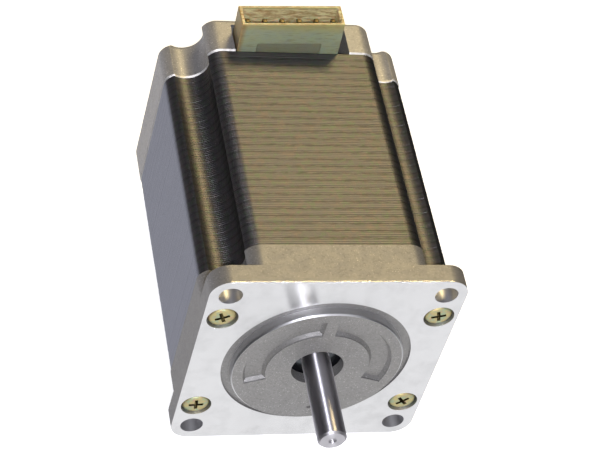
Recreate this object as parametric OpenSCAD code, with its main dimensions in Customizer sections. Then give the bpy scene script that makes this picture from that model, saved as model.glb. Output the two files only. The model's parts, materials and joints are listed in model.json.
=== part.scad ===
// Hybrid stepper motor with a square flange, a laminated stack between two die-cast caps,
// four tie screws through the flange and a pin header standing out of the rear cap.
// Millimetres. The origin is the centre of the flange's mounting face, on the shaft axis.
// The shaft points along -Y, the body runs along +Y and the header stands up along +Z.

/* [Body] */
// Width across the flats of the flange, the caps and the stack
body_w = 56.4; // [50:0.2:64]
// Length of the rounded shoulders between the flats and the scallops, along the flats
shoulder_l = 3.2; // [2.5:0.1:4.5]
// Radius of the scallop that clears each mounting screw
scallop_r = 4.6; // [4:0.1:5.2]
// Radius of the flange's corners
flange_corner_r = 4.6; // [3:0.1:6]
// Thickness of the flange plate
flange_t = 4.6; // [3.8:0.1:6]
// Length of the front cap, flange plate included
front_cap_l = 10; // [9:0.2:14]
// Length of the rear cap
rear_cap_l = 10; // [9:0.2:14]
// Thickness of the rear cap's end wall
rear_wall = 1.8; // [1.4:0.1:2.4]
// Thickness of the caps' side walls at the flats
cap_wall = 4; // [3.4:0.1:5]

/* [Mounting] */
// Distance of the mounting holes' centres from the flange's edges, 47.14 mm apart
bolt_inset = 4.63; // [4:0.01:5.4]
// Diameter of the mounting holes
bolt_d = 5.1; // [4.3:0.1:5.6]
// Distance of the pilot's edge from the flange's edges, for a pilot of 38.1 mm
pilot_inset = 9.15; // [7.8:0.05:10.8]
// Height of the pilot above the flange face
pilot_h = 1.6; // [1.2:0.1:2.4]
// Width of the cast groove around the pilot
groove_w = 1.95; // [1:0.05:2.4]
// Depth of the groove below the flange face
groove_depth = 0.5; // [0.2:0.1:1]

/* [Pilot face] */
// Inner diameter of the two curved recesses
recess_in_d = 23; // [20:0.5:25]
// Width of the rim outside the recesses
recess_rim = 2.65; // [1.5:0.05:3.5]
// Depth of the recesses
recess_depth = 1; // [0.4:0.1:1.4]
// Width of the rib between the recesses
rib_w = 2.7; // [1.5:0.1:5]
// Diameter of the small ejector mark
dot_d = 1; // [0.5:0.1:2]
// Diameter of the hole that the shaft comes out of
lip_hole_d = 11.6; // [10:0.2:12.6]
// Depth of the ejector mark
dot_depth = 0.4; // [0.1:0.1:0.8]
// Distance of the ejector mark from the pilot's edge
dot_inset = 4.05; // [2:0.05:5]

/* [Shaft] */
// Diameter of the output shaft and of both bearing seats on it
shaft_d = 6.35; // [5:0.05:7]
// Length of shaft beyond the flange face
shaft_out = 20.6; // [12:0.2:30]
// Diameter between the bearings, where the rotor is pressed on
shaft_core_d = 8; // [7.6:0.1:8.8]
// Chamfer of the shaft's ends
shaft_chamfer = 0.5; // [0.2:0.1:1]
// Diameter of the lathe centre mark in the shaft's end
centre_mark_d = 1.8; // [1:0.1:3]
// Depth of the centre mark
centre_mark_depth = 0.9; // [0.4:0.1:1.5]
// Depth of the undercut in front of the front bearing
neck_depth = 0.2; // [0.1:0.05:0.3]
// Length of the undercut
neck_l = 0.8; // [0.6:0.1:0.9]

/* [Bearings] */
// Outer diameter of both ball bearings
bearing_od = 15.875; // [15.4:0.025:16.4]
// Width of both ball bearings
bearing_w = 4.98; // [4.7:0.02:5.2]
// Diameter of the balls
ball_d = 2.38; // [2.2:0.02:2.44]
// Number of balls in each bearing
ball_count = 8; // [6:1:9]
// Clearance between a ball and its raceways
race_gap = 0.02; // [0.01:0.005:0.05]
// Clearance between a ball and its cage pocket
pocket_gap = 0.08; // [0.04:0.01:0.1]
// Height of the step that holds each shield
shield_step = 0.4; // [0.3:0.05:0.6]
// Depth of the step that holds each shield
shield_seat_depth = 0.45; // [0.35:0.05:0.5]
// Thickness of the shields
shield_t = 0.25; // [0.15:0.05:0.3]
// Running gap between a shield and the inner ring
shield_gap = 0.25; // [0.15:0.05:0.4]
// Gap between the cage's closed side and the shield next to it
cage_side_gap = 0.34; // [0.24:0.02:0.5]
// Length of the cage's prongs beyond the balls' centres
cage_prong = 0.6; // [0.3:0.1:0.8]
// Thickness of the lip in front of the front bearing, measured from the pilot face
front_lip = 2.6; // [2.2:0.1:3]
// Radial fit of the bearings in their seats
seat_fit = 0.01; // [0.005:0.005:0.02]
// Diameter of the bearing bosses inside the caps
boss_d = 20.4; // [18.6:0.2:20.8]
// Length of bearing boss beyond the bearing's inner face
boss_over = 0.6; // [0.2:0.1:1]
// Height of the spring washer behind the rear bearing
washer_h = 0.72; // [0.5:0.02:0.9]
// Thickness of the spring washer
washer_t = 0.3; // [0.2:0.05:0.4]
// Distance of the spring washer's hole from the inner ring
washer_in_gap = 0.7; // [0.5:0.05:1]
// Distance of the spring washer's rim inside the outer ring's edge
washer_out_gap = 0.34; // [0.2:0.02:0.6]

/* [Stator] */
// Thickness of one lamination
lam_t = 0.5; // [0.4:0.05:0.6]
// Number of laminations in the stack
lam_count = 112; // [90:2:150]
// How far the stack's outline lies inside the caps' outline
stack_inset = 0.2; // [0.1:0.05:0.4]
// Width of each pole's neck
pole_w = 6.6; // [5.6:0.1:7.6]
// How far the slots' bottoms lie inside the caps' walls
slot_inset = 1.4; // [1.2:0.1:1.8]
// Depth of the slots, from the stator's bore to their bottoms
slot_depth = 7.5; // [6.4:0.1:8.6]
// Radial thickness of the pole shoes
shoe_t = 2.3; // [1.9:0.1:2.6]
// Number of teeth on each pole shoe
shoe_teeth = 6; // [4:1:6]
// Depth of the gaps between the pole shoe's teeth
stator_tooth_depth = 0.6; // [0.4:0.1:0.8]

/* [Rotor] */
// Number of teeth around each rotor cup
rotor_teeth = 50; // [48:1:52]
// Depth of the rotor's teeth
rotor_tooth_depth = 0.7; // [0.4:0.1:0.9]
// Radial gap between the rotor's and the stator's teeth
air_gap = 0.1; // [0.06:0.01:0.2]
// Distance of the rotor's ends inside the stack's ends
rotor_inset = 1.5; // [1:0.1:3]
// Thickness of each ring magnet
magnet_t = 2.5; // [1.5:0.1:3.5]
// Distance of the ring magnets' rims inside the roots of the rotor's teeth
magnet_inset = 1.3; // [0.8:0.1:2.5]
// Length of the plain ring between the two rotor sections
spacer_l = 2; // [1:0.2:4]
// Radial thickness of the plain ring
spacer_t = 6; // [3:0.5:8]
// Thickness of the rim around the hollow in each cup's free face
cup_rim = 2.5; // [1.5:0.1:4]
// Inner diameter of the hollow in each cup's free face
cup_hub_d = 13; // [11:0.5:15]
// Depth of the hollow in each cup's free face
cup_hollow_depth = 4; // [2:0.5:6]

/* [Winding] */
// Thickness of the moulded end frames on the pole faces
frame_t = 0.8; // [0.6:0.1:1]
// Thickness of the slot liners
liner_t = 0.25; // [0.15:0.05:0.35]
// Thickness of each coil around its pole's ends
coil_t = 3.2; // [2.6:0.1:3.4]
// Distance of a coil's inner edge from the middle of the slot
coil_side_gap = 0.6; // [0.4:0.05:1]
// Radius of the coils' rounded corners
coil_corner = 2.5; // [1.5:0.1:3]
// Gap between a coil and the walls around it
coil_gap = 0.15; // [0.1:0.05:0.3]
// Thickness of the end frames' inner walls
frame_wall = 1; // [0.8:0.1:1.1]
// Height of the end frames' walls above the coils' ends
frame_over = 0.4; // [0.2:0.1:0.6]
// Gap between the end frames and the caps' inner wall
frame_gap = 0.3; // [0.2:0.05:0.5]
// Gap between the coils' ends and the front cap
room_gap = 1.5; // [1:0.1:1.8]
// Diameter of the posts that carry the circuit board
post_d = 2.5; // [2:0.1:2.6]
// How far the posts' centres lie inside the slots' bottoms
post_inset = 0.9; // [0.7:0.1:1]
// Diameter of the winding terminals
terminal_d = 0.7; // [0.5:0.1:0.9]
// Depth of the winding terminals in their posts
terminal_depth = 4; // [2:0.5:4.5]
// Diameter of the solder joint on each terminal
solder_d = 1.7; // [1.2:0.1:2]
// Height of the solder joints
solder_h = 0.5; // [0.3:0.1:0.6]

/* [Circuit board] */
// Thickness of the circuit board
board_t = 1; // [0.8:0.1:1.1]
// Gap between the board's inner edge and the rear bearing boss
board_in_gap = 0.4; // [0.2:0.1:1]
// Gap between the board's outer edge and the cap's inner wall
board_out_gap = 0.4; // [0.2:0.1:0.8]
// Gap between the board's back and the cap's web
board_back_gap = 0.9; // [0.7:0.1:1.2]
// How far the tab that carries the header ends inside the header's ends
tab_inset = 0.65; // [0.4:0.05:1.2]
// Height of the tab's top above the body's flat
tab_rise = 3.3; // [2:0.1:5]
// Diameter of the board's holes for the header's pins
pin_hole_d = 1.6; // [1.6:0.05:1.8]

/* [Header] */
// Number of pins
pin_count = 6; // [4:1:6]
// Distance between neighbouring pins
pin_pitch = 3.96; // [3.8:0.02:4]
// Width of each square pin
pin_w = 1.1; // [0.8:0.1:1.1]
// Length of housing beyond the centre of each outer pin
header_end = 1.95; // [1.8:0.05:2.1]
// Gap between the header's front and the stack
header_gap = 0.1; // [0.05:0.05:0.3]
// Height of the header's top above the body's flat
header_rise = 8.6; // [8:0.2:11]
// Depth of the header's bottom below the body's flat
header_sink = 2.7; // [2.3:0.1:3.2]
// Thickness of the header's walls
header_wall = 0.9; // [0.7:0.1:1.1]
// Height of the floor of the header's mouth above the body's flat
mouth_rise = 1; // [0.6:0.1:2]
// Height of the pins' tips below the header's top
pin_tip_drop = 1.6; // [0.8:0.2:3]
// Depth of the pins' bent legs below the body's flat
pin_leg_drop = 0.8; // [0.6:0.1:1.2]
// Length of pin that stands out behind the board
pin_tail = 0.5; // [0.3:0.1:0.6]
// Distance from the header's ends to the shallow panel low on its front
panel_end = 4.45; // [2:0.05:7]
// Height of the panel's top above the body's flat
panel_rise = 2.5; // [1.5:0.1:4]
// Depth of the panel
panel_depth = 0.45; // [0.2:0.05:0.5]
// Angle in degrees by which the header leans about the shaft axis
header_turn = 2.5; // [0:0.5:2.5]
// Room in the rear cap's notch at each end of the header
notch_gap = 1.55; // [1.4:0.05:2]

/* [Tie screws] */
// Distance of the screws' axes from the body's side flats
screw_inset = 4.3; // [3.8:0.1:5]
// Distance of the screws' axes below and above the mounting holes
screw_drop = 7.67; // [6.6:0.01:9]
// Diameter of the screws' shanks
screw_d = 3; // [2.5:0.1:3.2]
// Clearance around the shanks in the front cap and the stack
shank_gap = 0.2; // [0.1:0.05:0.3]
// Diameter of the screws' heads
head_d = 6.3; // [5:0.1:6.3]
// Diameter of the counterbores for the heads
counterbore_d = 6.8; // [6.4:0.1:7]
// Depth of the counterbores
counterbore_depth = 2.4; // [1.8:0.1:2.8]
// Depth of the heads' tops below the flange face
head_sunk = 0.1; // [0:0.05:0.3]
// Width of the cross recess's arms
cross_w = 0.8; // [0.5:0.1:1]
// Span of the cross recess
cross_span = 3.2; // [2.4:0.1:3.6]
// Depth of the cross recess
cross_depth = 1.2; // [0.6:0.1:1.4]
// Depth of the screws' ends below the rear face
screw_end_sunk = 1.2; // [0.5:0.1:2]
// Chamfer at the screws' ends and around their heads
screw_chamfer = 0.6; // [0.2:0.1:0.6]

/* [Hidden] */

$fn = 96;

// Number of stator poles, each with a coil of its own
pole_count = 8;
// Number of straight stretches that stand in for the arc of a pie slice
slice_steps = 4;
// How far a cut runs past the face that it opens
over = 1;
// Chamfer at the pilot's edge
pilot_chamfer = 0.3;
// Depth of the turned recess in the rear cap's face
rear_dish_depth = 0.4;

// Angle of each scallop's sharp edge, seen from the mounting hole, below the level
cusp_angle = 58;
// Angle below the level at which each curved recess starts
recess_start_angle = 20;
// Angle of the ejector mark below the level
dot_angle = 85;
// Part of a tooth pitch that a stator tooth takes
stator_tooth_share = 0.5;
// Part of a tooth pitch that a rotor tooth takes at its tip and at its root
rotor_tip_share = 0.42;
rotor_root_share = 0.52;
// Part of the rear cap's width that its turned recess takes
rear_dish_share = 0.4;
// Part of the space between a bearing's bore and its rim that each ring takes
ring_share = 0.3;
// Part of the space between the rings that the cage takes
cage_share = 0.58;
// Number of rotor cups, two to each magnet
cup_count = 4;

body_r = body_w / 2;
bolt_r = body_r - bolt_inset;
pilot_r = body_r - pilot_inset;
groove_r = pilot_r + groove_w;
dot_place_r = pilot_r - dot_inset;
shaft_r = shaft_d / 2;
core_r = shaft_core_d / 2;
boss_r = boss_d / 2;
lip_hole_r = lip_hole_d / 2;
room_r = body_r - cap_wall;
slot_r = room_r - slot_inset;
bore_r = slot_r - slot_depth;
shoe_r = bore_r + shoe_t;
screw_x = body_r - screw_inset;
screw_z = bolt_r - screw_drop;
screw_r = screw_d / 2;
head_r = head_d / 2;

stack_l = lam_t * lam_count;
stack_y = front_cap_l;
stack_end = stack_y + stack_l;
total_l = stack_end + rear_cap_l;
web_y = total_l - rear_wall;

pole_step = 360 / pole_count;
tooth_step = 360 / rotor_teeth;
shoe_half_angle = tooth_step * (shoe_teeth - 1 + stator_tooth_share) / 2;

bearing_r = bearing_od / 2;
seat_r = bearing_r + seat_fit;
ball_r = ball_d / 2;
pocket_r = ball_r + pocket_gap;
ball_place_r = (shaft_r + bearing_r) / 2;
ring_t = (bearing_r - shaft_r) * ring_share;
inner_land_r = shaft_r + ring_t;
outer_land_r = bearing_r - ring_t;
cage_t = (outer_land_r - inner_land_r) * cage_share;
shield_seat_r = outer_land_r + shield_step;
front_bearing_y = front_lip - pilot_h;
rear_bearing_y = web_y - washer_h - bearing_w;
front_boss_y = front_bearing_y + bearing_w + boss_over;
rear_boss_y = rear_bearing_y - boss_over;

coil_in_r = shoe_r + coil_gap;
coil_in_half = pole_w / 2 + liner_t;
coil_out_half = coil_in_r * tan(pole_step / 2) - coil_side_gap;
coil_flat_half = coil_out_half - coil_corner;
coil_out_r = sqrt(pow(slot_r - liner_t - coil_gap, 2) - pow(coil_out_half, 2));
coil_reach = frame_t + coil_t;
coil_from = stack_y - coil_reach;
coil_to = stack_end + coil_reach;
coil_straight = coil_to - coil_from - 2 * coil_corner;
frame_h = coil_reach + frame_over;
frame_r = room_r - frame_gap;
post_place_r = slot_r - post_inset;
front_room_y = coil_from - room_gap;

board_back = web_y - board_back_gap;
board_y = board_back - board_t;
header_w = (pin_count - 1) * pin_pitch + 2 * header_end;
header_top = body_r + header_rise;
header_bottom = body_r - header_sink;
mouth_floor = body_r + mouth_rise;
panel_w = header_w - 2 * panel_end;
panel_top = body_r + panel_rise;
pin_leg_z = body_r - pin_leg_drop;
tab_w = header_w - 2 * tab_inset;
tab_top = body_r + tab_rise;
notch_w = header_w + 2 * notch_gap;
notch_floor = sqrt(pow(room_r, 2) - pow(notch_w / 2, 2));
header_y = stack_end + header_gap;
header_depth = board_y - header_y;
pin_y = header_y + header_depth / 2;

rotor_r = bore_r - air_gap;
root_r = rotor_r - rotor_tooth_depth;
rotor_y = stack_y + rotor_inset;
rotor_end = stack_end - rotor_inset;
cup_l = (rotor_end - rotor_y - 2 * magnet_t - spacer_l) / cup_count;
magnet_1_y = rotor_y + cup_l;
cup_2_y = magnet_1_y + magnet_t;
spacer_y = cup_2_y + cup_l;
cup_3_y = spacer_y + spacer_l;
magnet_2_y = cup_3_y + cup_l;
cup_4_y = magnet_2_y + magnet_t;

// Places of the header's pins along the header
pin_places = [for (i = [0 : pin_count - 1]) (i - (pin_count - 1) / 2) * pin_pitch];

// A point turned about the origin
function turned(p, a) = [p[0] * cos(a) - p[1] * sin(a), p[0] * sin(a) + p[1] * cos(a)];

// Extrudes an outline in X and Z along Y, from one place to another
module slab(from, to) {
    translate([0, to, 0]) rotate([90, 0, 0]) linear_extrude(to - from) children();
}

// Turns an outline of radius and Y place about the shaft axis
module lathe(points) {
    rotate([-90, 0, 0]) rotate_extrude() polygon(points);
}

// A round rod along Y, from one place to another
module rod(r, from, to) {
    translate([0, from, 0]) rotate([-90, 0, 0]) cylinder(r = r, h = to - from);
}

// A ring along Y, from one place to another
module tube(outer_r, inner_r, from, to) {
    lathe([[inner_r, from], [outer_r, from], [outer_r, to], [inner_r, to]]);
}

// Copies at the four mounting holes
module at_bolts() {
    for (x = [-bolt_r, bolt_r], z = [-bolt_r, bolt_r]) translate([x, 0, z]) children();
}

// Copies at the four tie screws
module at_screws() {
    for (x = [-screw_x, screw_x], z = [-screw_z, screw_z]) translate([x, 0, z]) children();
}

// Copies turned about the shaft axis, one for each pole
module at_poles(offset_angle = 0) {
    for (i = [0 : pole_count - 1]) rotate([0, -i * pole_step - offset_angle, 0]) children();
}

// Outline of a pie slice between two angles, out past the given radius
module slice(r, from, to) {
    reach = r + bore_r;
    step = (to - from) / slice_steps;
    polygon([[0, 0], for (i = [0 : slice_steps]) turned([reach, 0], from + i * step)]);
}

// Outline of a ring
module ring(outer_r, inner_r) {
    difference() {
        circle(outer_r);
        circle(inner_r);
    }
}

// Outline of the caps and the stack: flats that curve over rounded shoulders into corner scallops
module body_outline(inset = 0) {
    r = body_r - inset;
    cusp = bolt_r + (scallop_r + inset) * cos(cusp_angle);
    flat_r = bolt_r - (scallop_r + inset) * sin(cusp_angle) - shoulder_l;
    drop = r - cusp;
    shoulder_r = (shoulder_l * shoulder_l + drop * drop) / (2 * drop);
    at = r - shoulder_r;
    difference() {
        union() {
            square(2 * bolt_r, center = true);
            square([2 * r, 2 * flat_r], center = true);
            square([2 * flat_r, 2 * r], center = true);
            for (a = [0 : 90 : 270], p = [[at, flat_r], [flat_r, at]]) translate(turned(p, a)) circle(shoulder_r);
        }
        for (x = [-bolt_r, bolt_r], z = [-bolt_r, bolt_r]) translate([x, z]) circle(scallop_r + inset);
    }
}

// Outline of the flange: a square with rounded corners
module flange_outline() {
    straight = body_w - 2 * flange_corner_r;
    at = straight / 2;
    square([straight, body_w], center = true);
    square([body_w, straight], center = true);
    for (x = [-at, at], z = [-at, at]) translate([x, z]) circle(flange_corner_r);
}

module front_cap() color("silver") difference() {
    union() {
        slab(0, flange_t) flange_outline();
        slab(0, front_cap_l) body_outline();
        lathe([[0, -pilot_h], [pilot_r - pilot_chamfer, -pilot_h], [pilot_r, -pilot_h + pilot_chamfer],
            [pilot_r, groove_depth], [0, groove_depth]]);
    }
    tube(groove_r, pilot_r, -pilot_h - over, groove_depth);
    slab(-pilot_h - over, recess_depth - pilot_h) difference() {
        intersection() {
            ring(pilot_r - recess_rim, recess_in_d / 2);
            slice(pilot_r, -recess_start_angle, 180 + recess_start_angle);
        }
        translate([-rib_w / 2, 0]) square([rib_w, pilot_r]);
    }
    rotate([0, dot_angle, 0]) translate([dot_place_r, 0, 0])
        rod(dot_d / 2, -pilot_h - over, dot_depth - pilot_h);
    rod(lip_hole_r, -pilot_h - over, front_bearing_y + over);
    rod(seat_r, front_bearing_y, front_boss_y + over);
    lathe([[0, front_boss_y], [boss_r, front_boss_y], [boss_r, front_room_y], [room_r, front_room_y],
        [room_r, front_cap_l + over], [0, front_cap_l + over]]);
    at_bolts() rod(bolt_d / 2, -over, flange_t + over);
    at_screws() rod(counterbore_d / 2, -over, counterbore_depth);
    at_screws() rod(screw_r + shank_gap, 0, front_cap_l + over);
}

module rear_cap() color("gainsboro") difference() {
    slab(stack_end, total_l) body_outline();
    lathe([[0, stack_end - over], [room_r, stack_end - over], [room_r, web_y], [boss_r, web_y],
        [boss_r, rear_boss_y], [0, rear_boss_y]]);
    rod(seat_r, rear_boss_y - over, web_y);
    translate([-notch_w / 2, stack_end - over, notch_floor])
        cube([notch_w, web_y - stack_end + over, body_r - notch_floor + over]);
    rod(body_r * rear_dish_share, total_l - rear_dish_depth, total_l + over);
    at_screws() rod(screw_r, stack_end - over, total_l + over);
}

// Outline of the pole necks, a little into the yoke and the shoes
module pole_necks(w) {
    for (i = [0 : pole_count - 1]) rotate(i * pole_step)
        translate([bore_r + shoe_t / 2, -w / 2]) square([slot_r - bore_r, w]);
}

// Outline of the pole shoes, without their tooth gaps
module pole_shoes(outer_r, inner_r) {
    for (i = [0 : pole_count - 1]) rotate(i * pole_step) intersection() {
        ring(outer_r, inner_r);
        slice(outer_r, -shoe_half_angle, shoe_half_angle);
    }
}

// Outline of the gaps between the teeth of all the pole shoes
module tooth_gaps() {
    gap_w = bore_r * sin(tooth_step) * (1 - stator_tooth_share);
    for (i = [0 : pole_count - 1], j = [1 : shoe_teeth - 1])
        rotate(i * pole_step + (j - shoe_teeth / 2) * tooth_step)
            translate([bore_r - air_gap, -gap_w / 2]) square([air_gap + stator_tooth_depth, gap_w]);
}

module stator_core() color("dimgray") slab(stack_y, stack_end) difference() {
    body_outline(stack_inset);
    difference() {
        circle(slot_r);
        pole_necks(pole_w);
        pole_shoes(shoe_r, bore_r);
    }
    tooth_gaps();
    for (x = [-screw_x, screw_x], z = [-screw_z, screw_z]) translate([x, z]) circle(screw_r + shank_gap);
}

// One moulded end frame, built on the plane Y = 0 and rising along +Y
module end_frame() {
    slab(0, frame_t) {
        ring(frame_r, slot_r);
        intersection() {
            circle(frame_r);
            pole_necks(pole_w + 2 * liner_t);
        }
        pole_shoes(shoe_r, shoe_r - frame_wall);
    }
    slab(0, frame_h) {
        ring(frame_r, slot_r);
        pole_shoes(shoe_r, shoe_r - frame_wall);
    }
}

module front_insulator() color("ivory") translate([0, stack_y, 0]) mirror([0, 1, 0]) end_frame();

module rear_insulator() color("ivory") difference() {
    union() {
        translate([0, stack_end, 0]) end_frame();
        intersection() {
            at_poles(pole_step / 2) translate([post_place_r, 0, 0]) rod(post_d / 2, stack_end, board_y);
            rod(frame_r, stack_end, board_y);
        }
    }
    at_poles(pole_step / 2) translate([post_place_r, 0, 0])
        rod(terminal_d / 2, board_y - terminal_depth, board_y + over);
}

module slot_liners() color("tan") slab(stack_y, stack_end) difference() {
    circle(slot_r);
    circle(coil_in_r);
    pole_necks(pole_w);
    difference() {
        circle(slot_r - liner_t);
        pole_necks(pole_w + 2 * liner_t);
    }
}

// One coil around the pole with the given number
module coil(i) color("peru") rotate([0, -i * pole_step, 0])
    translate([coil_in_r, (coil_from + coil_to) / 2, 0]) rotate([0, 90, 0])
        linear_extrude(coil_out_r - coil_in_r) difference() {
            union() {
                square([2 * coil_out_half, coil_straight], center = true);
                square([2 * coil_flat_half, coil_to - coil_from], center = true);
                for (x = [-coil_flat_half, coil_flat_half], y = [-coil_straight / 2, coil_straight / 2])
                    translate([x, y]) circle(coil_corner);
            }
            square([2 * coil_in_half, stack_l + 2 * frame_t], center = true);
        }

module winding_terminals() color("lightgray") at_poles(pole_step / 2) translate([post_place_r, 0, 0])
    lathe([[0, board_y - terminal_depth], [terminal_d / 2, board_y - terminal_depth],
        [terminal_d / 2, board_back], [solder_d / 2, board_back],
        [terminal_d / 2, board_back + solder_h], [0, board_back + solder_h]]);

module circuit_board() color("darkgreen") difference() {
    slab(board_y, board_back) difference() {
        union() {
            circle(room_r - board_out_gap);
            rotate(header_turn) translate([-tab_w / 2, 0]) square([tab_w, tab_top]);
        }
        circle(boss_r + board_in_gap);
    }
    at_poles(pole_step / 2) translate([post_place_r, 0, 0])
        rod(terminal_d / 2, board_y - over, board_back + over);
    rotate([0, -header_turn, 0]) for (x = pin_places) translate([x, 0, pin_leg_z])
        rod(pin_hole_d / 2, board_y - over, board_back + over);
}

module connector_housing() color("khaki") rotate([0, -header_turn, 0]) difference() {
    translate([-header_w / 2, header_y, header_bottom])
        cube([header_w, header_depth, header_top - header_bottom]);
    translate([header_wall - header_w / 2, header_y + header_wall, mouth_floor])
        cube([header_w - 2 * header_wall, header_depth - 2 * header_wall, header_top - mouth_floor + over]);
    translate([-panel_w / 2, header_y - over, header_bottom - over])
        cube([panel_w, over + panel_depth, panel_top - header_bottom + over]);
    for (x = pin_places) pin(x);
}

// One bent pin, up through the mouth and back through the board
module pin(x) {
    tip = header_top - pin_tip_drop;
    translate([x - pin_w / 2, pin_y - pin_w / 2, pin_leg_z - pin_w / 2])
        cube([pin_w, pin_w, tip - pin_leg_z + pin_w / 2]);
    translate([x - pin_w / 2, pin_y - pin_w / 2, pin_leg_z - pin_w / 2])
        cube([pin_w, board_back + pin_tail - pin_y + pin_w / 2, pin_w]);
}

module connector_pins() color("lightgoldenrodyellow") rotate([0, -header_turn, 0])
    for (x = pin_places) pin(x);

module bearing_outer_ring(y) color("lightsteelblue") translate([0, y, 0]) rotate([-90, 0, 0])
    rotate_extrude() difference() {
        translate([outer_land_r, 0]) square([bearing_r - outer_land_r, bearing_w]);
        square([shield_seat_r, shield_seat_depth]);
        translate([0, bearing_w - shield_seat_depth]) square([shield_seat_r, shield_seat_depth]);
        translate([ball_place_r, bearing_w / 2]) circle(ball_r + race_gap);
    }

module bearing_inner_ring(y) color("lightsteelblue") translate([0, y, 0]) rotate([-90, 0, 0])
    rotate_extrude() difference() {
        translate([shaft_r, 0]) square([inner_land_r - shaft_r, bearing_w]);
        translate([ball_place_r, bearing_w / 2]) circle(ball_r + race_gap);
    }

module bearing_shields(y) color("silver")
    for (from = [shield_seat_depth - shield_t, bearing_w - shield_seat_depth])
        tube(shield_seat_r, inner_land_r + shield_gap, y + from, y + from + shield_t);

module at_balls(y) {
    for (i = [0 : ball_count - 1]) rotate([0, i * 360 / ball_count, 0])
        translate([ball_place_r, y + bearing_w / 2, 0]) children();
}

module bearing_cage(y) color("goldenrod") difference() {
    middle = y + bearing_w / 2;
    tube(ball_place_r + cage_t / 2, ball_place_r - cage_t / 2, middle - cage_prong,
        y + bearing_w - shield_seat_depth - cage_side_gap);
    at_balls(y) translate([-cage_t, 0, 0]) rotate([0, 90, 0]) cylinder(r = pocket_r, h = 2 * cage_t);
}

module bearing_balls(y) color("white") at_balls(y) sphere(ball_r);

module wave_washer() color("steelblue") lathe([
    [bearing_r - washer_out_gap, web_y - washer_h], [bearing_r - washer_out_gap, web_y - washer_h + washer_t],
    [inner_land_r + washer_in_gap, web_y], [inner_land_r + washer_in_gap, web_y - washer_t]]);

module tie_screws() color("darkkhaki") at_screws() difference() {
    end = total_l - screw_end_sunk;
    lathe([[0, head_sunk], [head_r - screw_chamfer, head_sunk], [head_r, head_sunk + screw_chamfer],
        [head_r, counterbore_depth], [screw_r, counterbore_depth], [screw_r, end - screw_chamfer],
        [screw_r - screw_chamfer, end], [0, end]]);
    for (size = [[cross_span, cross_w], [cross_w, cross_span]])
        translate([-size[0] / 2, head_sunk - over, -size[1] / 2])
            cube([size[0], cross_depth + over, size[1]]);
}

module shaft() color("whitesmoke") difference() {
    end = rear_bearing_y + bearing_w;
    lathe([[0, -shaft_out], [shaft_r - shaft_chamfer, -shaft_out], [shaft_r, shaft_chamfer - shaft_out],
        [shaft_r, front_bearing_y - neck_l], [shaft_r - neck_depth, front_bearing_y - neck_l],
        [shaft_r - neck_depth, front_bearing_y], [shaft_r, front_bearing_y],
        [shaft_r, front_bearing_y + bearing_w], [core_r, front_bearing_y + bearing_w],
        [core_r, rear_bearing_y], [shaft_r, rear_bearing_y], [shaft_r, end - shaft_chamfer],
        [shaft_r - shaft_chamfer, end], [0, end]]);
    lathe([[0, -shaft_out - over], [centre_mark_d / 2, -shaft_out - over], [centre_mark_d / 2, -shaft_out],
        [0, centre_mark_depth - shaft_out]]);
}

// Outline of the toothed rim of a rotor cup, turned by part of a tooth
module cup_outline(phase) {
    tip = tooth_step * rotor_tip_share / 2;
    root = tooth_step * rotor_root_share / 2;
    tooth = [[root_r, -root], [rotor_r, -tip], [rotor_r, tip], [root_r, root]];
    polygon([for (i = [0 : rotor_teeth - 1], p = tooth) turned([p[0], 0], (i + phase) * tooth_step + p[1])]);
}

// A rotor cup, with its hollow in the face away from the magnet
module rotor_cup(y, phase, hollow_front) color("slategray") difference() {
    slab(y, y + cup_l) cup_outline(phase);
    rod(core_r, y - over, y + cup_l + over);
    if (hollow_front) tube(root_r - cup_rim, cup_hub_d / 2, y - over, y + cup_hollow_depth);
    else tube(root_r - cup_rim, cup_hub_d / 2, y + cup_l - cup_hollow_depth, y + cup_l + over);
}

module rotor_magnet(y) color("darkslategray") tube(root_r - magnet_inset, core_r, y, y + magnet_t);
module rotor_spacer() color("silver") tube(core_r + spacer_t, core_r, spacer_y, spacer_y + spacer_l);

front_cap();
rear_cap();
stator_core();
front_insulator();
rear_insulator();
slot_liners();
coil(0);  // coil_1
coil(1);  // coil_2
coil(2);  // coil_3
coil(3);  // coil_4
coil(4);  // coil_5
coil(5);  // coil_6
coil(6);  // coil_7
coil(7);  // coil_8
winding_terminals();
circuit_board();
connector_housing();
connector_pins();
bearing_outer_ring(front_bearing_y);  // front_bearing_outer_ring
bearing_shields(front_bearing_y);  // front_bearing_shields
bearing_outer_ring(rear_bearing_y);  // rear_bearing_outer_ring
bearing_shields(rear_bearing_y);  // rear_bearing_shields
wave_washer();
tie_screws();
shaft();
rotor_cup(rotor_y, 0, true);  // rotor_cup_1
rotor_cup(cup_2_y, 1 / 2, false);  // rotor_cup_2
rotor_cup(cup_3_y, 1 / 2, true);  // rotor_cup_3
rotor_cup(cup_4_y, 0, false);  // rotor_cup_4
rotor_magnet(magnet_1_y);  // rotor_magnet_1
rotor_magnet(magnet_2_y);  // rotor_magnet_2
rotor_spacer();
bearing_inner_ring(front_bearing_y);  // front_bearing_inner_ring
bearing_inner_ring(rear_bearing_y);  // rear_bearing_inner_ring
bearing_cage(front_bearing_y);  // front_bearing_cage
bearing_balls(front_bearing_y);  // front_bearing_balls
bearing_cage(rear_bearing_y);  // rear_bearing_cage
bearing_balls(rear_bearing_y);  // rear_bearing_balls
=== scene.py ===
"""Dresses a packed square-flange stepper motor: castings, laminations, header, screws and shaft."""

import json
import math
import random

import bmesh
import bpy
from bpy.props import FloatProperty, FloatVectorProperty, IntProperty, PointerProperty
from mathutils import Matrix, Vector

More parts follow.
